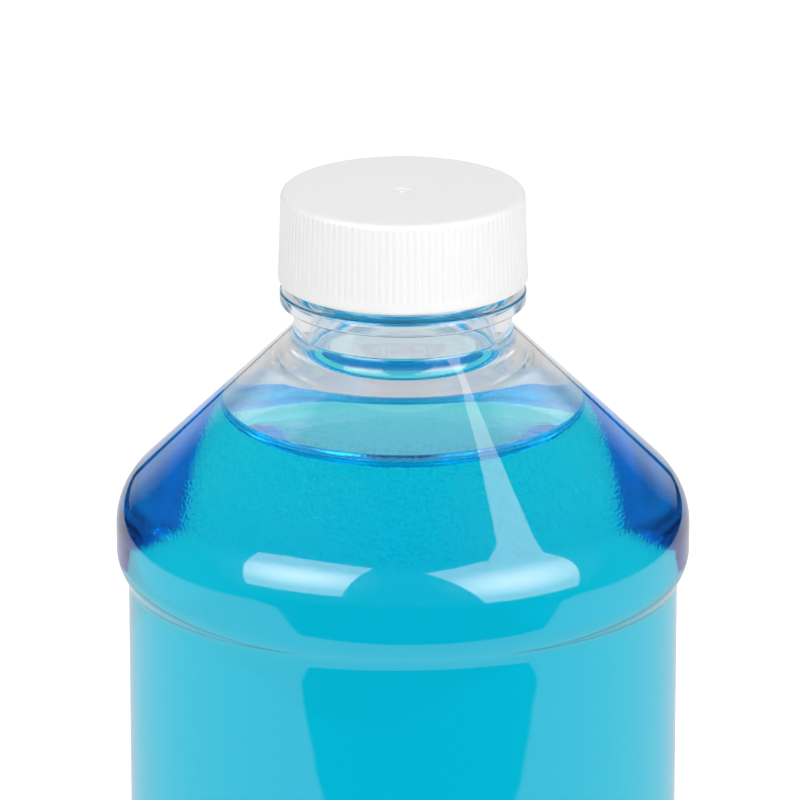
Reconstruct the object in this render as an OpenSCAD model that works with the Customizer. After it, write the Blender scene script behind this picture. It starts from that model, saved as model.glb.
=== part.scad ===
// Round blown bottle with a continuous-thread closure, standing upright.
// Origin on the axis at the standing plane, +Z up, millimetres.

/* [Body] */
// Largest diameter, at the two bumper rings
bumper_d = 70.2; // [64:0.1:80]
// Diameter of the recessed label panel
panel_d = 67.3; // [60:0.1:69]
// Height of the label panel between the bumper rings
panel_h = 103.5; // [60:0.5:140]
// Height of the upper bumper's upright side, corner to corner
bumper_h = 7.9; // [5:0.1:14]
// Rounding of the bumper where it turns in to the label panel
bumper_round = 7.2; // [2:0.1:9]
// Angle between the bottle's axis and the ledge from bumper to panel
ledge_angle = 34.5; // [25:0.5:60]
// Inner rounding where the ledge meets the panel
ledge_fillet = 1; // [0.5:0.1:3]
// Angle between the bottle's axis and the straight shoulder
shoulder_angle = 45.5; // [38:0.5:55]
// Rounding between the shoulder and the bumper
shoulder_round = 8; // [4:0.1:11]
// Wall thickness of the blown body
wall = 0.4; // [0.3:0.05:0.8]

/* [Base] */
// Height of the base bumper's upright side
base_side_h = 13; // [11:0.5:25]
// Rounding of the heel
heel_round = 6; // [4:0.5:8]
// Inner edge diameter of the ring that the bottle stands on
ring_d = 53; // [44:0.5:56]
// Rounding of the standing ring's inner edge
ring_round = 2.5; // [1.5:0.1:4]
// How far the middle of the base is pushed up
push_up_h = 6; // [4:0.5:9]
// Diameter of the flat middle of the push-up
push_up_flat_d = 22; // [10:1:30]
// Rounding around the flat middle of the push-up
push_up_round = 9; // [4:0.5:14]
// Diameter of the moulding gate's nub
gate_nub_d = 5; // [3:0.5:8]
// How far the gate's nub stands below the push-up
gate_nub_h = 0.8; // [0.4:0.1:1.5]

/* [Neck] */
// Diameter of the bore through neck and finish
bore_d = 22.6; // [20:0.1:23.2]
// Outer diameter of the neck under the bead
neck_d = 26.6; // [25.6:0.1:28]
// Height of the neck from the shoulder to the bead's underside
neck_h = 3.4; // [2:0.1:8]
// Rounding between the neck and the shoulder
neck_fillet = 0.6; // [0.3:0.1:1.5]
// Diameter of the bead under the closure
bead_d = 30; // [28.5:0.1:32]
// Thickness of the bead
bead_t = 1.75; // [1:0.05:3]
// Rounding of the bead's edges
bead_round = 0.35; // [0.1:0.05:0.5]
// How far below the neck's foot the thick neck wall reaches inside
thick_neck_drop = 0.9; // [0.4:0.1:2]
// Height in which the thick neck wall runs out into the blown shoulder
flare_h = 1.1; // [0.8:0.1:2]
// Rounding at the top of that run-out
flare_round = 1.4; // [0.5:0.1:2]

/* [Thread] */
// Height of the finish from the bead's top to the rim
finish_h = 9.8; // [9.6:0.1:12]
// Diameter of the finish between the thread turns
thread_root_d = 25.2; // [24.6:0.1:26]
// Diameter over the thread
thread_d = 27.6; // [27:0.1:28.4]
// Rise of the thread in one turn
thread_lead = 4.233; // [3.8:0.001:4.6]
// Number of thread turns on the finish, and again in the cap
thread_turns = 1.25; // [0.8:0.05:1.3]
// Width of the thread's crest
thread_crest_w = 1; // [0.6:0.05:1.1]
// Slope of the thread's flanks, from a plane square to the axis
thread_flank = 30; // [10:1:35]
// Distance from the rim to the middle of the topmost turn
thread_drop = 2.4; // [2.2:0.1:3]
// Length over which each end of the thread fades out, in degrees of turn
thread_fade = 35; // [15:5:60]
// Rounding of the rim's outer edge
rim_round = 0.4; // [0.1:0.05:0.6]

/* [Cap] */
// Height of the cap
cap_h = 11.2; // [10.6:0.1:12]
// Thickness of the cap's flat top
cap_top_t = 1.3; // [0.9:0.05:1.6]
// Wall between the cap's thread root and its rib grooves, at the open end
skirt_wall = 0.9; // [0.75:0.05:1.5]
// How much smaller the cap's radius is at its top than at its open end
skirt_draft = 0.38; // [0.1:0.02:0.44]
// Rounding between the cap's top and its side
cap_edge_round = 0.8; // [0.4:0.05:1]
// Rounding of the cap's outer edge at the open end
cap_foot_round = 0.45; // [0.1:0.05:0.6]
// Bevel inside the cap's open end
cap_lead_in = 0.4; // [0.2:0.05:0.6]
// Number of grip ribs
rib_count = 110; // [60:1:120]
// Depth of the grooves between the ribs
rib_depth = 0.22; // [0.1:0.01:0.3]
// Width of the grooves between the ribs
groove_w = 0.6; // [0.3:0.02:0.7]
// Height of the smooth band below the ribs
foot_band_h = 1.3; // [0.8:0.1:3]
// Diameter of the gate's dimple in the cap's top
dimple_d = 2.4; // [1.5:0.1:4]
// Depth of the gate's dimple
dimple_depth = 0.25; // [0.1:0.05:0.4]
// Diameter of the gate's pip in the middle of the dimple
pip_d = 0.7; // [0.4:0.05:1]

/* [Liner and seal] */
// Thickness of the foam liner
liner_t = 1; // [0.6:0.05:1.5]
// Diameter of the foil seal on the rim
seal_d = 25; // [24:0.1:25.4]
// Thickness of the foil seal
seal_t = 0.1; // [0.05:0.01:0.2]

/* [Contents] */
// Distance from the rim down to the liquid's surface
fill_drop = 24; // [20:0.5:40]

/* [Fits] */
// Radial room between a thread's crest and the wall that it faces
thread_gap = 0.3; // [0.15:0.05:0.4]
// Room along the axis between the flanks that carry the load
flank_gap = 0.12; // [0.05:0.01:0.3]
// Radial room around the liner in the cap
liner_gap = 0.2; // [0.05:0.05:0.4]
// Room between the faces of rim, seal, liner and cap
seat_gap = 0.02; // [0.01:0.01:0.05]
// Room between the liquid and the bottle's wall
fill_gap = 0.05; // [0.02:0.01:0.2]

/* [Hidden] */

// Steps of the round stretches, in degrees along an outline and around the thread
arc_step = 7.5;
thread_step = 7.5;
// How far one solid reaches into another where they are joined or cut
bite = 0.3;

bumper_r = bumper_d / 2;
panel_r = panel_d / 2;
neck_r = neck_d / 2;
bore_r = bore_d / 2;
bead_r = bead_d / 2;
thread_r = thread_d / 2;
thread_root_r = thread_root_d / 2;
ledge_h = (bumper_r - panel_r) / tan(ledge_angle);

// Heights of the bottle's corners above the standing plane
panel_z0 = base_side_h + ledge_h;
panel_z1 = panel_z0 + panel_h;
bumper_z0 = panel_z1 + ledge_h;
bumper_z1 = bumper_z0 + bumper_h;
neck_z = bumper_z1 + (bumper_r - neck_r) / tan(shoulder_angle);
bead_z = neck_z + neck_h;
finish_z = bead_z + bead_t;
rim_z = finish_z + finish_h;
fill_z = rim_z - fill_drop;

// Faces of the closure's stack, from the rim up
seal_z = rim_z + seat_gap;
liner_z = seal_z + seal_t + seat_gap;
ceiling_z = liner_z + liner_t + seat_gap;
cap_top_z = ceiling_z + cap_top_t;
cap_z = cap_top_z - cap_h;

// The cap's radii, from the thread that it fits
cap_root_r = thread_r + thread_gap;
cap_crest_r = thread_root_r + thread_gap;
cap_r = cap_root_r + skirt_wall + rib_depth;
cap_top_r = cap_r - skirt_draft;
draft_angle = atan(skirt_draft / cap_h);

// The thread's ridge: its height, its width at the root, and the cap's place under the bottle's
ridge_h = thread_r - thread_root_r;
ridge_root_w = thread_crest_w + 2 * ridge_h * tan(thread_flank);
mesh_offset = thread_crest_w + (ridge_h - thread_gap) * tan(thread_flank) + flank_gap;
ridge_z = rim_z - thread_drop - thread_turns * thread_lead;
cap_ridge_z = cap_z + cap_lead_in + ridge_root_w / 2;
cap_ridge_start = (cap_ridge_z - ridge_z + mesh_offset) / thread_lead * 360;

// Vectors in the plane of an outline
function unit(v) = v / norm(v);
function across(v) = [-v.y, v.x];
function side(a, b) = a.x * b.y - a.y * b.x;
function spot(p) = [p.x, p.y];

// How far a corner's rounding reaches along the straight stretches beside it
function reach(path, i) =
    i == 0 || i == len(path) - 1 ? 0 :
    let (u = unit(spot(path[i]) - spot(path[i - 1])), v = unit(spot(path[i + 1]) - spot(path[i])))
    path[i].z * tan(abs(atan2(side(u, v), u * v)) / 2);

// The part of the stretch from corner i to the next that both roundings may share
function share(path, i) =
    let (want = reach(path, i) + reach(path, i + 1))
    want == 0 ? 1 : min(1, norm(spot(path[i + 1]) - spot(path[i])) / want);

// The points of an outline given by its corners as [radius, height, rounding]
function rounded(path) = [
    for (i = [0 : len(path) - 1])
        let (last = i == 0 || i == len(path) - 1)
        if (last || path[i].z == 0) spot(path[i])
        else
            let (
                corner = spot(path[i]),
                u = unit(corner - spot(path[i - 1])),
                v = unit(spot(path[i + 1]) - corner),
                turn = atan2(side(u, v), u * v),
                back = reach(path, i) * min(share(path, i - 1), share(path, i)),
                r = back / tan(abs(turn) / 2),
                start = corner - back * u,
                hub = start + sign(turn) * r * across(u),
                steps = max(1, ceil(abs(turn) / arc_step))
            )
            each [
                for (k = [0 : steps])
                    let (a = turn * k / steps)
                    hub + cos(a) * (start - hub) + sin(a) * across(start - hub)
            ]
];

// The same corners moved in by a wall's thickness, to the left of the outline's direction
function inset(path, t) = [
    for (i = [0 : len(path) - 1])
        let (
            before = i == 0 ? undef : unit(spot(path[i]) - spot(path[i - 1])),
            after = i == len(path) - 1 ? undef : unit(spot(path[i + 1]) - spot(path[i])),
            u = is_undef(before) ? after : before,
            v = is_undef(after) ? before : after,
            mitre = t / (1 + u * v) * (across(u) + across(v)),
            r = path[i].z == 0 ? 0 : max(0, path[i].z - sign(side(u, v)) * t)
        )
        [path[i].x + mitre.x, path[i].y + mitre.y, r]
];

// The blown skin's corners from the middle of the base up to the foot of the neck
skin = [
    [0, push_up_h, 0],
    [push_up_flat_d / 2, push_up_h, push_up_round],
    [ring_d / 2, 0, ring_round],
    [bumper_r, 0, heel_round],
    [bumper_r, base_side_h, bumper_round],
    [panel_r, panel_z0, ledge_fillet],
    [panel_r, panel_z1, ledge_fillet],
    [bumper_r, bumper_z0, bumper_round],
    [bumper_r, bumper_z1, shoulder_round],
    [neck_r, neck_z, neck_fillet]
];

finish = [
    [neck_r, bead_z, 0],
    [bead_r, bead_z, bead_round],
    [bead_r, finish_z, bead_round],
    [thread_root_r, finish_z, 0],
    [thread_root_r, rim_z, rim_round],
    [bore_r, rim_z, 0]
];

// The radius of the shoulder's inner face at a height, for a wall of thickness t
function shoulder_r(z, t) = neck_r + (neck_z - z) * tan(shoulder_angle) - t / cos(shoulder_angle);

// The hollow's corners for a wall of thickness t, from the middle of the base up to the rim
flare_top_z = neck_z - thick_neck_drop;
flare_foot_z = flare_top_z - flare_h;
function hollow(t) = concat(
    [for (i = [0 : len(skin) - 2]) inset(skin, t)[i]],
    [
        [shoulder_r(flare_foot_z, t), flare_foot_z, flare_round],
        [bore_r - (t - wall), flare_top_z - (t - wall), flare_round],
        [bore_r - (t - wall), rim_z, 0]
    ]
);

// A helical ridge on a wall of radius foot_r, with its crest at crest_r, rising from height z0
module ridge(foot_r, crest_r, z0, start) {
    out = sign(crest_r - foot_r);
    rise = abs(crest_r - foot_r);
    steps = ceil(thread_turns * 360 / thread_step);
    function fade(a) = min(1, a / thread_fade, (thread_turns * 360 - a) / thread_fade);
    function half_w(h) = thread_crest_w / 2 + (rise - h) * tan(thread_flank);
    function at(r, a, z) = [r * cos(start + a), r * sin(start + a), z];
    function section(a) =
        let (h = rise * fade(a) - bite / 2 * (1 - fade(a)), z = z0 + thread_lead * a / 360)
        [
            at(foot_r - out * bite, a, z - half_w(-bite)),
            at(foot_r + out * h, a, z - half_w(h)),
            at(foot_r + out * h, a, z + half_w(h)),
            at(foot_r - out * bite, a, z + half_w(-bite))
        ];
    points = [for (i = [0 : steps]) each section(thread_turns * 360 * i / steps)];
    sides = [
        for (i = [0 : steps - 1], k = [0 : 3])
            let (a = 4 * i + k, b = 4 * i + (k + 1) % 4)
            each out > 0
                ? [[a, b, a + 4], [b, b + 4, a + 4]]
                : [[b, a, a + 4], [b + 4, b, a + 4]]
    ];
    far = 4 * steps;
    ends = out > 0
        ? [[0, 3, 2], [0, 2, 1], [far, far + 1, far + 2], [far, far + 2, far + 3]]
        : [[0, 2, 3], [0, 1, 2], [far, far + 2, far + 1], [far, far + 3, far + 2]];
    polyhedron(points, concat(sides, ends));
}

module bottle() {
    color([0.9, 0.93, 0.95, 0.35]) union() {
        rotate_extrude() difference() {
            polygon(concat(rounded(concat(skin, finish)), [[0, rim_z]]));
            polygon(concat(rounded(hollow(wall)), [[0, rim_z]]));
        }
        ridge(thread_root_r, thread_r, ridge_z, 0);
        translate([0, 0, push_up_h - gate_nub_h]) cylinder(h = gate_nub_h + wall / 2, d = gate_nub_d);
    }
}

module groove() {
    rotate([0, -draft_angle, 0]) linear_extrude(cap_h)
        polygon([[bite, -groove_w], [-rib_depth, 0], [bite, groove_w]]);
}

module cap() {
    outside = [
        [0, cap_top_z, 0],
        [cap_top_r, cap_top_z, cap_edge_round],
        [cap_r, cap_z, cap_foot_round],
        [cap_root_r + cap_lead_in, cap_z, 0],
        [cap_root_r, cap_z + cap_lead_in, 0],
        [cap_root_r, ceiling_z, 0],
        [0, ceiling_z, 0]
    ];
    dimple_r = (pow(dimple_d / 2, 2) + pow(dimple_depth, 2)) / (2 * dimple_depth);
    color([0.95, 0.95, 0.94]) union() {
        difference() {
            rotate_extrude() polygon(rounded(outside));
            for (i = [0 : rib_count - 1])
                rotate([0, 0, i * 360 / rib_count])
                    translate([cap_r - skirt_draft * foot_band_h / cap_h, 0, cap_z + foot_band_h]) groove();
            translate([0, 0, cap_top_z - dimple_depth + dimple_r]) sphere(r = dimple_r, $fn = 96);
        }
        translate([0, 0, cap_top_z - cap_top_t / 2]) cylinder(h = cap_top_t / 2 - dimple_depth / 3, d = pip_d);
        ridge(cap_root_r, cap_crest_r, cap_ridge_z, cap_ridge_start);
    }
}

module liner() {
    color([0.97, 0.97, 0.95]) translate([0, 0, liner_z]) cylinder(h = liner_t, r = cap_root_r - liner_gap);
}

module foil_seal() {
    color("silver") translate([0, 0, seal_z]) cylinder(h = seal_t, d = seal_d);
}

module mouthwash() {
    color([0, 0.68, 0.84, 0.8]) rotate_extrude() intersection() {
        polygon(concat(rounded(hollow(wall + fill_gap)), [[0, rim_z]]));
        square([bumper_r, fill_z]);
    }
}

bottle();
cap();
liner();
foil_seal();
mouthwash();
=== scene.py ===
import cmath
import math

import bpy
import numpy as np
from mathutils import Matrix, Vector


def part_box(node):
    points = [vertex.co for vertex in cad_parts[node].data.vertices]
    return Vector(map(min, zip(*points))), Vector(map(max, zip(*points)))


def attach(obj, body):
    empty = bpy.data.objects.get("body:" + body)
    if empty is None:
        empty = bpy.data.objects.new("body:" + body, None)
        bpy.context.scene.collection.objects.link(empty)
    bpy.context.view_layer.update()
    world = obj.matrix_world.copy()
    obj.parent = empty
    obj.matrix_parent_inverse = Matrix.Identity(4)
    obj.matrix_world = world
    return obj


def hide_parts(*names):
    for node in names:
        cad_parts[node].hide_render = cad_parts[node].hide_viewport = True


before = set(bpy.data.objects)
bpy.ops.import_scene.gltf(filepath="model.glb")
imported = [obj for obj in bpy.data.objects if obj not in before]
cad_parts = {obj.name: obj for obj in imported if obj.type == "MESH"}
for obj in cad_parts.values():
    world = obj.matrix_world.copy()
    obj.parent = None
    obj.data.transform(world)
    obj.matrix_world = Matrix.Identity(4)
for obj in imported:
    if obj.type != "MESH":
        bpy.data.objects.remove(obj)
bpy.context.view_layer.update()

# Bottle
# One piece of clear PET, moulded as a thick preform and then blown. The neck keeps the preform's wall,
# which runs out below it into a skin under half a millimetre. Two bumper rings stand proud of the panel.
MM = 0.001
same = 1e-6
bottle_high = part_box("bottle")[1] / MM
rim_z = bottle_high.z
bumper_r = bottle_high.x
panel_r = 33.65
panel_h = 103.5
bumper_h = 7.9
bumper_round = 5.0
ledge_angle = math.radians(34.5)
ledge_fillet = 2.9
shoulder_angle = math.radians(45.5)
shoulder_round = 8.0
wall = 0.4
base_side_h = 13.0
heel_round = 6.0
ring_r = 26.5
ring_round = 2.5
push_up_h = 6.0
push_up_flat_r = 11.0
push_up_round = 9.0
bore_r = 11.3
neck_r = 13.3
neck_fillet = 0.6
bead_r = 15.0
bead_t = 1.75
bead_round = 0.35
bead_foot_round = 0.25
finish_h = 9.8
rim_round = 0.4
bore_round = 0.3
thread_root_r = 12.6
thread_r = 13.8
thread_lead = 4.233
thread_turns = 1.25
thread_crest_w = 1.0
thread_flank = math.radians(30)
thread_drop = 2.4
thread_fade = math.radians(35)

ledge_h = (bumper_r - panel_r) / math.tan(ledge_angle)
panel_z0 = base_side_h + ledge_h
panel_z1 = panel_z0 + panel_h
bumper_z0 = panel_z1 + ledge_h
bumper_z1 = bumper_z0 + bumper_h
neck_z = bumper_z1 + (bumper_r - neck_r) / math.tan(shoulder_angle)
finish_z = rim_z - finish_h
bead_z = finish_z - bead_t
thread_z = rim_z - thread_drop - thread_turns * thread_lead
thread_rise = thread_r - thread_root_r

skin = [
    (0, push_up_h, 0),
    (push_up_flat_r, push_up_h, push_up_round),
    (ring_r, 0, ring_round),
    (bumper_r, 0, heel_round),
    (bumper_r, base_side_h, bumper_round),
    (panel_r, panel_z0, ledge_fillet),
    (panel_r, panel_z1, ledge_fillet),
    (bumper_r, bumper_z0, bumper_round),
    (bumper_r, bumper_z1, shoulder_round),
    (neck_r, neck_z, neck_fillet),
]
finish = [
    (neck_r, bead_z, bead_foot_round),
    (bead_r, bead_z, bead_round),
    (bead_r, finish_z, bead_round),
    (thread_root_r, finish_z, bead_foot_round),
    (thread_root_r, rim_z, rim_round),
    (bore_r, rim_z, bore_round),
]


def rounded(corners, arc_step=math.radians(4)):
    """The outline through corners given as (radius, height, rounding), as complex radius + height * 1j."""
    place = [complex(r, z) for r, z, _ in corners]
    points = place[:1]
    for before, corner, after, (_, _, radius) in zip(place, place[1:], place[2:], corners[1:]):
        u = (corner - before) / abs(corner - before)
        v = (after - corner) / abs(after - corner)
        turn = cmath.phase(v / u)
        if not radius:
            points.append(corner)
            continue
        start = corner - radius * math.tan(abs(turn) / 2) * u
        hub = start + math.copysign(radius, turn) * 1j * u
        steps = max(2, math.ceil(abs(turn) / arc_step))
        points += [hub + (start - hub) * cmath.exp(1j * turn * k / steps) for k in range(steps + 1)]
    return points + place[-1:]


def inset(corners, depth):
    """The same corners moved to the left of the outline's direction by a wall's thickness."""
    place = [complex(r, z) for r, z, _ in corners]
    way = [(b - a) / abs(b - a) for a, b in zip(place, place[1:])]
    moved = []
    for p, u, v, (_, _, radius) in zip(place, way[:1] + way, way + way[-1:], corners):
        bend = cmath.phase(v / u)
        q = p + depth * 1j * (u + v) / (1 + math.cos(bend))
        moved.append((q.real, q.imag, max(0, radius - math.copysign(depth, bend)) if radius else 0))
    return moved


def spread(points, longest):
    """The outline with no stretch longer than that, so that smooth shading stays true along it."""
    filled = points[:1]
    for a, b in zip(points, points[1:]):
        parts = max(1, math.ceil(abs(b - a) / longest))
        filled += [a + (b - a) * k / parts for k in range(1, parts + 1)]
    return filled


def turned(name, outline, around, grow=None):
    """A mesh turned about the axis. grow(radius, height, angle) gives what is added to the radius there."""
    angle = np.arange(around) * 2 * math.pi / around
    vertices, rings, faces = [], [], []
    for point in outline:
        first = len(vertices)
        if point.real < same:
            vertices.append((0, 0, point.imag * MM))
            rings.append([first] * around)
            continue
        radius = np.full(around, point.real)
        if grow is not None:
            radius = radius + grow(point.real, point.imag, angle)
        ring = np.stack([radius * np.cos(angle), radius * np.sin(angle), np.full(around, point.imag)], 1)
        vertices += (ring * MM).tolist()
        rings.append(list(range(first, first + around)))
    for low, high in zip(rings, rings[1:]):
        for a, b, c, d in zip(low, low[1:] + low[:1], high[1:] + high[:1], high):
            faces.append(tuple(dict.fromkeys((a, b, c, d))))
    mesh = bpy.data.meshes.new(name)
    mesh.from_pydata(vertices, [], faces)
    mesh.polygons.foreach_set("use_smooth", [True] * len(faces))
    mesh.update()
    made = bpy.data.objects.new(name, mesh)
    bpy.context.scene.collection.objects.link(made)
    return made


def new_material(name):
    """A material with an empty node tree, and its output node."""
    made = bpy.data.materials.new(name)
    made.use_nodes = True
    made.node_tree.nodes.clear()
    return made, made.node_tree, made.node_tree.nodes.new("ShaderNodeOutputMaterial")


def node(tree, kind, inputs=None, **settings):
    """A shader node with its settings, and its inputs set to values or linked to sockets."""
    made = tree.nodes.new("ShaderNode" + kind)
    for key, value in settings.items():
        setattr(made, key, value)
    for key, value in (inputs or {}).items():
        if isinstance(value, bpy.types.NodeSocket):
            tree.links.new(value, made.inputs[key])
        else:
            made.inputs[key].default_value = value
    return made


def thread_growth(foot_r, crest_r, foot_z, start):
    """How far a helical ridge stands out of a wall of radius foot_r, for turned()."""
    rise = abs(crest_r - foot_r)
    root_half = thread_crest_w / 2 + rise * math.tan(thread_flank)
    full = thread_turns * 2 * math.pi

    def grow(radius, height, angle):
        if abs(radius - foot_r) > same:
            return 0 * angle
        turned_by = (angle - start) % (2 * math.pi)
        out = np.zeros_like(angle)
        for lap in (0, 1):
            a = turned_by + lap * 2 * math.pi
            off = np.abs(height - foot_z - thread_lead * a / (2 * math.pi))
            fade = np.clip(np.minimum(a, full - a) / thread_fade, 0, 1)
            ridge = np.clip((root_half - off) / math.tan(thread_flank), 0, rise) * fade
            out = np.maximum(out, ridge)
        return math.copysign(1, crest_r - foot_r) * out
    return grow


def pet(name, ior, grain_strength):
    """Clear blown PET: faintly uneven, with the fine grain that blowing leaves inside the shoulder."""
    made, tree, output = new_material(name)
    place = node(tree, "TexCoord").outputs["Object"]
    height = node(tree, "SeparateXYZ", {"Vector": place}).outputs["Z"]
    flow = node(tree, "TexNoise", {"Vector": place, "Scale": 90, "Detail": 2, "Roughness": 0.45})
    grain = node(tree, "TexNoise", {"Vector": place, "Scale": 2600, "Detail": 1.5, "Roughness": 0.6})
    shoulder = node(tree, "MapRange", {"Value": height, "From Min": 0.124, "From Max": 0.131})
    neck = node(tree, "MapRange", {
        "Value": height, "From Min": 0.141, "From Max": 0.148, "To Min": 1, "To Max": 0})
    where = node(tree, "Math", {0: shoulder.outputs[0], 1: neck.outputs[0]}, operation="MULTIPLY")
    fine = node(tree, "Math", {0: grain.outputs[0], 1: where.outputs[0]}, operation="MULTIPLY")
    waves = node(tree, "Bump", {"Height": flow.outputs[0], "Strength": 0.012, "Distance": 0.002})
    bump = node(tree, "Bump", {
        "Height": fine.outputs[0],
        "Normal": waves.outputs[0],
        "Strength": grain_strength,
        "Distance": 0.0002,
    })
    haze = node(tree, "MapRange", {"Value": flow.outputs[0], "To Min": 0.0, "To Max": 0.004})
    specks = node(tree, "MapRange", {"Value": fine.outputs[0], "From Min": 0.5, "From Max": 0.6})
    tone = node(tree, "MixRGB", {0: specks.outputs[0], 1: (0.985, 0.992, 1.0, 1), 2: (0.8, 0.86, 0.9, 1)})
    clear = node(tree, "BsdfPrincipled", {
        "Base Color": tone.outputs[0],
        "Roughness": haze.outputs[0],
        "IOR": ior,
        "Transmission Weight": 1.0,
        "Normal": bump.outputs[0],
    })
    passing = node(tree, "BsdfTransparent", {"Color": (0.94, 0.95, 0.96, 1)})
    shadow = node(tree, "LightPath").outputs["Is Shadow Ray"]
    mixed = node(tree, "MixShader", {0: shadow, 1: clear.outputs[0], 2: passing.outputs[0]})
    tree.links.new(mixed.outputs[0], output.inputs["Surface"])
    return made


# The inside follows the skin up to the shoulder, where the wall thickens in a curve into the preform's.
# Below contact_z it is wet, which takes most of the mirror off it.
thick_neck = [
    (23.2, neck_z - 10.92, 25),
    (15.42, neck_z - 4.79, 12),
    (11.75, neck_z - 2.62, 2.9),
    (bore_r, neck_z + 0.26, 14),
]
hollow = inset(skin, wall)[:-1] + thick_neck + [(bore_r, rim_z, 0)]
contact_z = 140.6
outer_step = 2.0
inner_step = 1.0
thread_step = 0.14
around = 288
pet_index = 1.575
liquid_index = 1.333

outside = spread(rounded(skin + finish)[:-1], outer_step)
finish_rows = [p for p in outside if p.imag > finish_z and abs(p.real - thread_root_r) < same]
low_row, high_row = outside.index(finish_rows[0]), outside.index(finish_rows[-1])
outside[low_row:high_row + 1] = spread([finish_rows[0], finish_rows[-1]], thread_step)
inside = spread(rounded(hollow[:-1] + [(bore_r, rim_z - bore_round, 0)]), inner_step)
wet = [p for p in inside if p.imag <= contact_z]
dry = inside[len(wet):]
meeting = wet[-1] + (dry[0] - wet[-1]) * (contact_z - wet[-1].imag) / (dry[0].imag - wet[-1].imag)
bottle = turned("clear_bottle", outside + (wet + [meeting] + dry)[::-1], around,
                thread_growth(thread_root_r, thread_r, thread_z, 0))
bottle.data.materials.append(pet("clear_pet", pet_index, 0.004))
bottle.data.materials.append(pet("clear_pet_against_liquid", pet_index / liquid_index, 0.4))
wet_from = (len(outside) + len(dry)) * around
bottle.data.polygons.foreach_set("material_index", [int(p.index >= wet_from) for p in bottle.data.polygons])
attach(bottle, "bottle")
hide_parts("bottle")

# Mouthwash
# Clear blue liquid up to half way up the shoulder. Where it meets the wall it climbs in a meniscus, and
# its colour comes from the depth of liquid that the light crosses.
liquid_gap = 0.02
capillary = 2.15
climb_angle = math.radians(105)
least_slope = 0.02
overhang = 0.3
edge_gap = 0.05
meniscus_steps = 28
meniscus_end_r = 4
middle_rows = (3.5, 2, 1, 0)


def meniscus(contact_r):
    """The liquid's surface from the wall inwards, by the balance of its weight and surface tension."""
    points = []
    for k in range(meniscus_steps + 1):
        slope = climb_angle * (1 - k / meniscus_steps) ** 1.5 + least_slope
        drop = 2 * capillary * (math.sin(climb_angle / 2) - math.sin(slope / 2))
        away = capillary * (math.log(math.tan(climb_angle / 4) / math.tan(slope / 4))
                            + 2 * math.cos(climb_angle / 2) - 2 * math.cos(slope / 2))
        points.append(complex(contact_r - max(away, -overhang), contact_z - drop))
    return points


hull = spread(rounded(inset(hollow, liquid_gap)), inner_step)
side = [p for p in hull if p.imag < contact_z - edge_gap]
over = hull[len(side)]
edge = side[-1] + (over - side[-1]) * (contact_z - side[-1].imag) / (over.imag - side[-1].imag)
surface = meniscus(edge.real)
flat_z = surface[-1].imag
surface = [p for p in surface if p.real > meniscus_end_r] + [complex(r, flat_z) for r in middle_rows]
liquid = turned("mouthwash_liquid", side + surface, around)
made, tree, output = new_material("blue_mouthwash")
place = node(tree, "TexCoord").outputs["Object"]
ripple = node(tree, "TexNoise", {"Vector": place, "Scale": 60, "Detail": 1})
bump = node(tree, "Bump", {"Height": ripple.outputs[0], "Strength": 0.01, "Distance": 0.001})
top = node(tree, "Attribute", attribute_name="open_surface")
glass = node(tree, "BsdfPrincipled", {
    "Base Color": (1, 1, 1, 1),
    "Roughness": 0.0,
    "IOR": liquid_index,
    "Transmission Weight": 1.0,
    "Normal": bump.outputs[0],
})
through = node(tree, "BsdfTransparent", {"Color": (1, 1, 1, 1)})
shadow = node(tree, "LightPath").outputs["Is Shadow Ray"]
lit = node(tree, "Math", {0: 1.0, 1: shadow}, operation="SUBTRACT")
bends = node(tree, "Math", {0: top.outputs["Fac"], 1: lit.outputs[0]}, operation="MULTIPLY")
mixed = node(tree, "MixShader", {0: bends.outputs[0], 1: through.outputs[0], 2: glass.outputs[0]})
tint = node(tree, "VolumeAbsorption", {"Color": (0.0, 0.93, 0.98, 1), "Density": 98})
tree.links.new(mixed.outputs[0], output.inputs["Surface"])
tree.links.new(tint.outputs[0], output.inputs["Volume"])
liquid.data.materials.append(made)
# Only the open surface bends light here, because the wall's own inner face stands for the wet contact
is_top = liquid.data.attributes.new("open_surface", "FLOAT", "FACE")
top_from = len(side) * around
is_top.data.foreach_set("value", [float(i >= top_from) for i in range(len(liquid.data.polygons))])
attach(liquid, "bottle")
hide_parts("mouthwash")

# Foil seal
# A disc of aluminium foil under the cap. It is cut out of a strip and bonded to the bottle's rim by heat,
# and it shows only once the cap is off.
made, tree, output = new_material("sealing_foil")
place = node(tree, "TexCoord").outputs["Object"]
creases = node(tree, "TexNoise", {"Vector": place, "Scale": 900, "Detail": 3})
bump = node(tree, "Bump", {"Height": creases.outputs[0], "Strength": 0.3, "Distance": 0.0001})
dull = node(tree, "MapRange", {"Value": creases.outputs[0], "To Min": 0.25, "To Max": 0.42})
foil = node(tree, "BsdfPrincipled", {
    "Base Color": (0.8, 0.81, 0.82, 1),
    "Metallic": 1.0,
    "Roughness": dull.outputs[0],
    "Normal": bump.outputs[0],
})
tree.links.new(foil.outputs[0], output.inputs["Surface"])
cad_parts["foil_seal"].data.materials.clear()
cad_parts["foil_seal"].data.materials.append(made)

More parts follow.
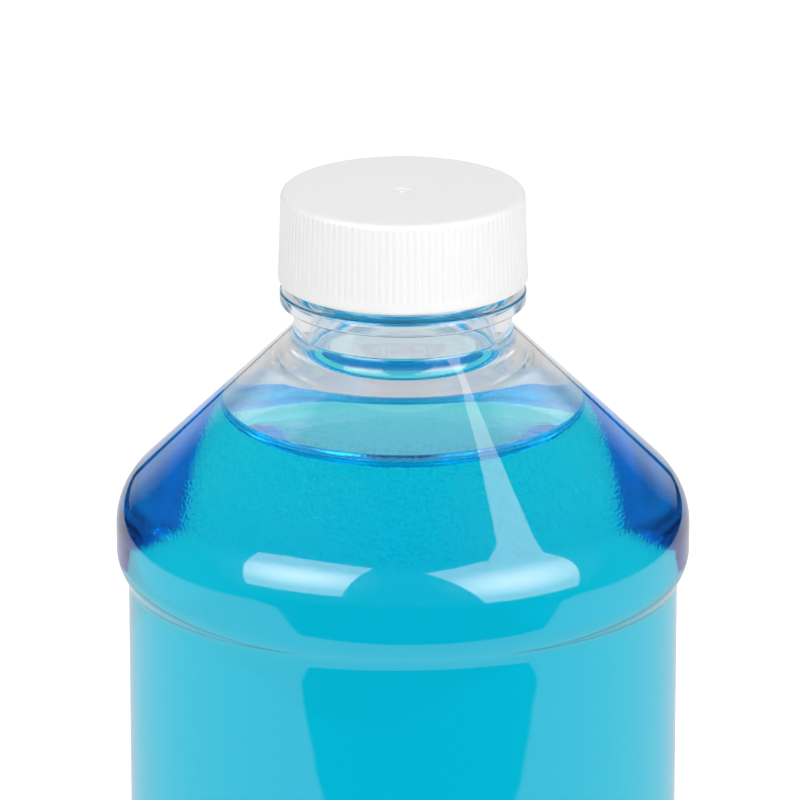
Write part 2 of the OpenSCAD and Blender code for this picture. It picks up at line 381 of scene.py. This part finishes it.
# Liner
# A disc of white foamed plastic, punched from sheet and pressed into the cap behind its thread. It makes
# the closure tight on the rim.
made, tree, output = new_material("foamed_liner")
place = node(tree, "TexCoord").outputs["Object"]
cells = node(tree, "TexVoronoi", {"Vector": place, "Scale": 2500})
bump = node(tree, "Bump", {"Height": cells.outputs["Distance"], "Strength": 0.4, "Distance": 0.0001})
shade = node(tree, "MapRange", {"Value": cells.outputs["Distance"], "To Min": 0.9, "To Max": 0.96})
tone = node(tree, "CombineColor", {
    "Red": shade.outputs[0], "Green": shade.outputs[0], "Blue": shade.outputs[0]})
foam = node(tree, "BsdfPrincipled", {
    "Base Color": tone.outputs[0], "Roughness": 0.7, "Normal": bump.outputs[0]})
tree.links.new(foam.outputs[0], output.inputs["Surface"])
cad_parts["liner"].data.materials.clear()
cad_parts["liner"].data.materials.append(made)

# Cap
# One piece of white polypropylene, moulded with fine grip ribs, a smooth band at its open end and the
# gate's dimple and pip in the middle of its top. Its thread runs under the bottle's.
cap_low, cap_high = (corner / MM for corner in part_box("cap"))
cap_z, cap_top_z = cap_low.z, cap_high.z
cap_r = 15.22
skirt_draft = 0.38
cap_edge_round = 0.8
cap_foot_round = 0.45
cap_lead_in = 0.4
cap_root_r = 14.1
cap_crest_r = 12.9
cap_top_t = 1.3
ceiling_z = cap_top_z - cap_top_t
ceiling_round = 0.4
small_round = 0.1
thread_gap = 0.3
flank_gap = 0.12
rib_count = 110
rib_depth = 0.11
rib_sharpness = 2.5
rib_foot_run = 0.25
rib_top_gap = 0.12
rib_top_run = 0.5
foot_band_h = 1.3
dimple_r = 1.2
dimple_depth = 0.25
dimple_round = 0.5
dimple_knee_r = 0.75
dimple_knee_depth = 0.175
dimple_knee_round = 0.4
pip_r = 0.3
pip_drop = 0.1
pip_flank = 0.1
root_w = thread_crest_w + 2 * thread_rise * math.tan(thread_flank)
mesh_offset = thread_crest_w + (thread_rise - thread_gap) * math.tan(thread_flank) + flank_gap
cap_thread_z = cap_z + cap_lead_in + root_w / 2
cap_thread_start = (cap_thread_z - thread_z + mesh_offset) / thread_lead * 2 * math.pi

cap_section = [
    (0, cap_top_z - pip_drop, 0),
    (pip_r, cap_top_z - pip_drop, small_round),
    (pip_r + pip_flank, cap_top_z - dimple_depth, small_round),
    (dimple_knee_r, cap_top_z - dimple_knee_depth, dimple_knee_round),
    (dimple_r, cap_top_z, dimple_round),
    (cap_r - skirt_draft, cap_top_z, cap_edge_round),
    (cap_r, cap_z, cap_foot_round),
    (cap_root_r + cap_lead_in, cap_z, small_round),
    (cap_root_r, cap_z + cap_lead_in, small_round),
    (cap_root_r, ceiling_z, ceiling_round),
    (0, ceiling_z, 0),
]
inner_thread = thread_growth(cap_root_r, cap_crest_r, cap_thread_z, cap_thread_start)


def cap_growth(radius, height, angle):
    """The grip ribs on the outside and the thread on the inside."""
    if radius < cap_root_r + same:
        return inner_thread(radius, height, angle)
    from_foot = (height - cap_z - foot_band_h) / rib_foot_run
    from_top = (cap_top_z - rib_top_gap - height) / rib_top_run
    depth = rib_depth * min(max(min(from_foot, from_top), 0), 1)
    phase = np.abs((angle * rib_count / (2 * math.pi)) % 1 - 0.5) * 2
    return -depth * phase ** rib_sharpness


cap_arc_step = math.radians(6)
flat_step = 2.0
rib_step = 0.3
cap_thread_step = 0.15
steps_per_rib = 10

cap_outline = rounded(cap_section, cap_arc_step)
top_edge = next(i for i, p in enumerate(cap_outline) if p.real > dimple_r + 1)
root_rows = [i for i, p in enumerate(cap_outline) if abs(p.real - cap_root_r) < same]
cap_top = spread(cap_outline[:top_edge], flat_step)
cap_skirt = spread(cap_outline[top_edge:root_rows[0]], rib_step)
cap_inside = spread(cap_outline[root_rows[0]:root_rows[-1] + 1], cap_thread_step)
cap_outline = cap_top + cap_skirt + cap_inside + cap_outline[root_rows[-1] + 1:]
cap = turned("white_cap", cap_outline[::-1], rib_count * steps_per_rib, cap_growth)
made, tree, output = new_material("white_polypropylene")
place = node(tree, "TexCoord").outputs["Object"]
sheen = node(tree, "TexNoise", {"Vector": place, "Scale": 1200, "Detail": 2})
bump = node(tree, "Bump", {"Height": sheen.outputs[0], "Strength": 0.05, "Distance": 0.0001})
gloss = node(tree, "MapRange", {"Value": sheen.outputs[0], "To Min": 0.34, "To Max": 0.46})
plastic = node(tree, "BsdfPrincipled", {
    "Base Color": (0.9, 0.9, 0.9, 1),
    "Roughness": gloss.outputs[0],
    "IOR": 1.49,
    "Subsurface Weight": 0.15,
    "Subsurface Radius": (0.0012, 0.0012, 0.0011),
    "Normal": bump.outputs[0],
})
tree.links.new(plastic.outputs[0], output.inputs["Surface"])
cap.data.materials.append(made)
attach(cap, "cap")
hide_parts("cap")

# Floor
# A pale sweep under the bottle. The plastic shows it as a bright table that ends in a slanting edge in
# front of the bottle and darkens to the sides. A sight line that only passes through the bottle, by four
# faces of its wall, finds no dark front.
reach = 6.0
front_left = Vector((-0.25, -0.26))
front_right = Vector((0.32, -0.188))
edge_soft = 0.004
faces_passed = 4

floor_mesh = bpy.data.meshes.new("floor")
corners = [(-reach, -reach, 0), (reach, -reach, 0), (reach, reach, 0), (-reach, reach, 0)]
floor_mesh.from_pydata(corners, [], [(0, 1, 2, 3)])
floor = bpy.data.objects.new("floor", floor_mesh)
bpy.context.scene.collection.objects.link(floor)
made, tree, output = new_material("pale_sweep")
place = node(tree, "NewGeometry").outputs["Position"]
parts = node(tree, "SeparateXYZ", {"Vector": place})
slant = (front_right.y - front_left.y) / (front_right.x - front_left.x)
edge_y = front_left.y - slant * front_left.x
lean = node(tree, "Math", {0: parts.outputs["X"], 1: slant}, operation="MULTIPLY")
past = node(tree, "Math", {0: parts.outputs["Y"], 1: lean.outputs[0]}, operation="SUBTRACT")
edge = node(tree, "MapRange", {
    "Value": past.outputs[0], "From Min": edge_y - edge_soft, "From Max": edge_y + edge_soft})
across = node(tree, "Math", {0: parts.outputs["X"]}, operation="ABSOLUTE")
side_edge = node(tree, "MapRange", {
    "Value": across.outputs[0], "From Min": 0.44, "From Max": 0.52, "To Min": 1, "To Max": 0})
path = node(tree, "LightPath")
grey = node(tree, "Math", {0: path.outputs["Is Transmission Ray"], 1: 0.6}, operation="MULTIPLY")
within = node(tree, "Math", {0: side_edge.outputs[0], 1: grey.outputs[0]}, operation="MAXIMUM")
straight = node(tree, "Math", {0: path.outputs["Ray Depth"], 1: faces_passed, 2: 0.5}, operation="COMPARE")
open_front = node(tree, "Math", {0: edge.outputs[0], 1: straight.outputs[0]}, operation="MAXIMUM")
table = node(tree, "Math", {0: open_front.outputs[0], 1: within.outputs[0]}, operation="MULTIPLY")
pale = node(tree, "BsdfDiffuse", {"Color": (0.86, 0.86, 0.86, 1)})
lift = node(tree, "Emission", {"Color": (1, 1, 1, 1), "Strength": 0.56})
seen = node(tree, "AddShader", {0: pale.outputs[0], 1: lift.outputs[0]})
from_foot = node(tree, "VectorMath", {0: place}, operation="LENGTH")
under = node(tree, "MapRange", {
    "Value": from_foot.outputs["Value"], "From Min": 0.033, "From Max": 0.045, "To Min": 1, "To Max": 0})
# Painted pool of light: the table that the plastic mirrors and shows through is made brighter under the
# foot, to the left and right of the push-up's middle, as if light gathered there
painted_pool_sides = node(tree, "MapRange", {"Value": across.outputs[0], "From Min": 0.014, "From Max": 0.024})
painted_pool = node(tree, "Math", {0: under.outputs[0], 1: painted_pool_sides.outputs[0]}, operation="MULTIPLY")
# The table's brightness as mirrored and seen through, raised by the painted pool of light under the foot
painted_pool_strength = node(tree, "Math", {0: painted_pool.outputs[0], 1: 0.5, 2: 0.81}, operation="MULTIPLY_ADD")
mirrored_table_and_painted_pool = node(tree, "Emission", {"Color": (1, 1, 1, 1), "Strength": painted_pool_strength.outputs[0]})
dark = node(tree, "Emission", {"Color": (1, 1, 1, 1), "Strength": 0.01})
sweep = node(tree, "MixShader", {0: table.outputs[0], 1: dark.outputs[0], 2: mirrored_table_and_painted_pool.outputs[0]})
bounced = node(tree, "Math", {
    0: path.outputs["Is Glossy Ray"], 1: path.outputs["Is Transmission Ray"]}, operation="MAXIMUM")
shown = node(tree, "MixShader", {0: path.outputs["Is Camera Ray"], 1: pale.outputs[0], 2: seen.outputs[0]})
mixed = node(tree, "MixShader", {0: bounced.outputs[0], 1: shown.outputs[0], 2: sweep.outputs[0]})
tree.links.new(mixed.outputs[0], output.inputs["Surface"])
floor_mesh.materials.append(made)

# World
# The studio round the bottle: white behind it, dark overhead and behind the camera. What is seen through
# the plastic also finds a bright card high up behind the bottle on either side, and an open front as on
# the floor.
world = bpy.data.worlds.new("studio")
bpy.context.scene.world = world
world.use_nodes = True
tree = world.node_tree
tree.nodes.clear()
output = node(tree, "OutputWorld")
way = node(tree, "TexCoord").outputs["Generated"]
parts = node(tree, "SeparateXYZ", {"Vector": way})
path = node(tree, "LightPath")
refracted = path.outputs["Is Transmission Ray"]
low = node(tree, "MapRange", {
    "Value": parts.outputs["Z"], "From Min": 0.45, "From Max": 0.75, "To Min": 1, "To Max": 0})
across = node(tree, "Math", {0: parts.outputs["X"]}, operation="ABSOLUTE")
# To the sides the plastic mirrors a dark studio, but what is seen through it is white a little further round
aside = node(tree, "Math", {0: refracted, 1: 1.5, 2: -1.4}, operation="MULTIPLY_ADD")
wide = node(tree, "Math", {
    0: across.outputs[0], 1: aside.outputs[0], 2: parts.outputs["Y"]}, operation="MULTIPLY_ADD")
behind = node(tree, "MapRange", {"Value": wide.outputs[0], "From Min": -0.05, "From Max": 0.3})
straight = node(tree, "Math", {0: path.outputs["Ray Depth"], 1: faces_passed, 2: 0.5}, operation="COMPARE")
forward = node(tree, "MapRange", {
    "Value": parts.outputs["Y"], "From Min": -0.3, "From Max": -0.1, "To Min": 1, "To Max": 0})
ahead = node(tree, "Math", {0: straight.outputs[0], 1: forward.outputs[0]}, operation="MULTIPLY")
open_front = node(tree, "Math", {0: behind.outputs[0], 1: ahead.outputs[0]}, operation="MAXIMUM")
lightness = node(tree, "Math", {0: low.outputs[0], 1: open_front.outputs[0]}, operation="MULTIPLY")
sky = node(tree, "MapRange", {"Value": lightness.outputs[0], "To Min": 0.015, "To Max": 0.66})
card_side = node(tree, "MapRange", {"Value": across.outputs[0], "From Min": 0.12, "From Max": 0.25})
card_foot = node(tree, "MapRange", {"Value": parts.outputs["Z"], "From Min": 0.35, "From Max": 0.5})
card_top = node(tree, "MapRange", {
    "Value": parts.outputs["Z"], "From Min": 0.8, "From Max": 0.9, "To Min": 1, "To Max": 0})
card_high = node(tree, "Math", {0: card_foot.outputs[0], 1: card_top.outputs[0]}, operation="MULTIPLY")
card_far = node(tree, "MapRange", {"Value": parts.outputs["Y"], "From Min": 0.3, "From Max": 0.45})
card_behind = node(tree, "Math", {0: card_high.outputs[0], 1: card_far.outputs[0]}, operation="MULTIPLY")
card = node(tree, "Math", {0: card_behind.outputs[0], 1: card_side.outputs[0]}, operation="MULTIPLY")
seen_card = node(tree, "Math", {0: card.outputs[0], 1: refracted}, operation="MULTIPLY")
strength = node(tree, "Math", {
    0: seen_card.outputs[0], 1: 1.4, 2: sky.outputs[0]}, operation="MULTIPLY_ADD")
bounced = node(tree, "Math", {0: path.outputs["Is Glossy Ray"], 1: refracted}, operation="MAXIMUM")
plain = node(tree, "Background", {"Color": (1, 1, 1, 1), "Strength": 0.69})
white = node(tree, "Background", {"Color": (1, 1, 1, 1), "Strength": 1.0})
studio = node(tree, "Background", {"Color": (1, 1, 1, 1), "Strength": strength.outputs[0]})
shown = node(tree, "MixShader", {0: path.outputs["Is Camera Ray"], 1: plain.outputs[0], 2: white.outputs[0]})
mixed = node(tree, "MixShader", {0: bounced.outputs[0], 1: shown.outputs[0], 2: studio.outputs[0]})
tree.links.new(mixed.outputs[0], output.inputs["Surface"])

# Lamps
# Two tall soft boxes, left and right of the camera and above it, each brighter in its middle. Each is a
# pair: one shines on matt surfaces, and one, a little nearer, is what gloss and clear plastic show.
lamp_distance = 0.9
pair_gap = 0.02
matt_share = 0.23
glow_aside = 0.05
glow_height = 0.46
lamp_target = Vector((0, 0, 0.13))


def soft_box(name, matt, azimuth, elevation, roll, width, height, tilt, pan, power):
    """A rectangular lamp seen from the bottle at that azimuth from the front and that elevation."""
    az, el, roll, tilt, pan = (math.radians(a) for a in (azimuth, elevation, roll, tilt, pan))
    away = Vector((math.sin(az) * math.cos(el), -math.cos(az) * math.cos(el), math.sin(el)))
    place = lamp_target + away * (lamp_distance + pair_gap * matt)
    side = Vector((math.cos(az), math.sin(az), 0))
    up = away.cross(side)
    side, up = side * math.cos(roll) + up * math.sin(roll), up * math.cos(roll) - side * math.sin(roll)
    up = up * math.cos(tilt) + away * math.sin(tilt)
    side = side * math.cos(pan) + away * math.sin(pan)
    out = side.cross(up).normalized()
    up = out.cross(side).normalized()
    data = bpy.data.lights.new(name, "AREA")
    data.shape = "RECTANGLE"
    data.size, data.size_y = width, height
    data.energy = power * (matt_share if matt else 1)
    data.use_nodes = True
    tree = data.node_tree
    tree.nodes.clear()
    across = node(tree, "NewGeometry").outputs["Parametric"]
    middle = (0.5 - math.copysign(glow_aside, az), glow_height, 0)
    centre = node(tree, "VectorMath", {0: across, 1: middle}, operation="SUBTRACT")
    oval = node(tree, "VectorMath", {0: centre.outputs[0], 1: (0.6, 1.5, 0)}, operation="MULTIPLY")
    off = node(tree, "VectorMath", {0: oval.outputs[0]}, operation="LENGTH")
    glow = node(tree, "MapRange", {
        "Value": off.outputs["Value"], "From Min": 0.05, "From Max": 0.5, "To Min": 2.7, "To Max": 0.95})
    tint = (1, 1, 1, 1) if matt else (1, 0.82, 0.72, 1)
    light = node(tree, "Emission", {"Color": tint, "Strength": glow.outputs[0]})
    tree.links.new(light.outputs[0], node(tree, "OutputLight").inputs["Surface"])
    lamp = bpy.data.objects.new(name, data)
    bpy.context.scene.collection.objects.link(lamp)
    facing = Matrix((side.normalized(), up, out)).transposed().to_4x4()
    lamp.matrix_world = Matrix.Translation(place) @ facing
    lamp.visible_camera = False
    lamp.visible_diffuse = matt
    lamp.visible_glossy = not matt
    lamp.visible_transmission = not matt


for matt in (False, True):
    soft_box("soft_box_left", matt, azimuth=-49.1, elevation=36.4, roll=11.2, width=0.685, height=0.872,
             tilt=6.2, pan=-8.0, power=7.2)
    soft_box("soft_box_right", matt, azimuth=49.4, elevation=28.5, roll=2.7, width=0.767, height=1.136,
             tilt=-1.6, pan=-4.0, power=10.0)

# Camera
# A long lens on a stand about a metre in front of the bottle. It looks 18.5 degrees down on the cap and the
# shoulder, with its middle a little under the cap's open end.
camera_pitch = math.radians(18.5)
camera_distance = 0.9935
aim_under_cap = 0.0156

camera_data = bpy.data.cameras.new("camera")
camera_data.sensor_width = 36
camera_data.lens = 366.8
camera_data.shift_x = -0.00375
camera_data.clip_start = 0.01
camera = bpy.data.objects.new("camera", camera_data)
bpy.context.scene.collection.objects.link(camera)
looked_at = Vector((0, 0, cap_z * MM - aim_under_cap))
camera.location = looked_at + camera_distance * Vector((0, -math.cos(camera_pitch), math.sin(camera_pitch)))
camera.rotation_euler = (math.pi / 2 - camera_pitch, 0, 0)
bpy.context.scene.camera = camera

scene = bpy.context.scene
scene.view_settings.view_transform = "Standard"
scene.cycles.max_bounces = 32
scene.cycles.transmission_bounces = 32
scene.cycles.glossy_bounces = 16
scene.cycles.transparent_max_bounces = 32
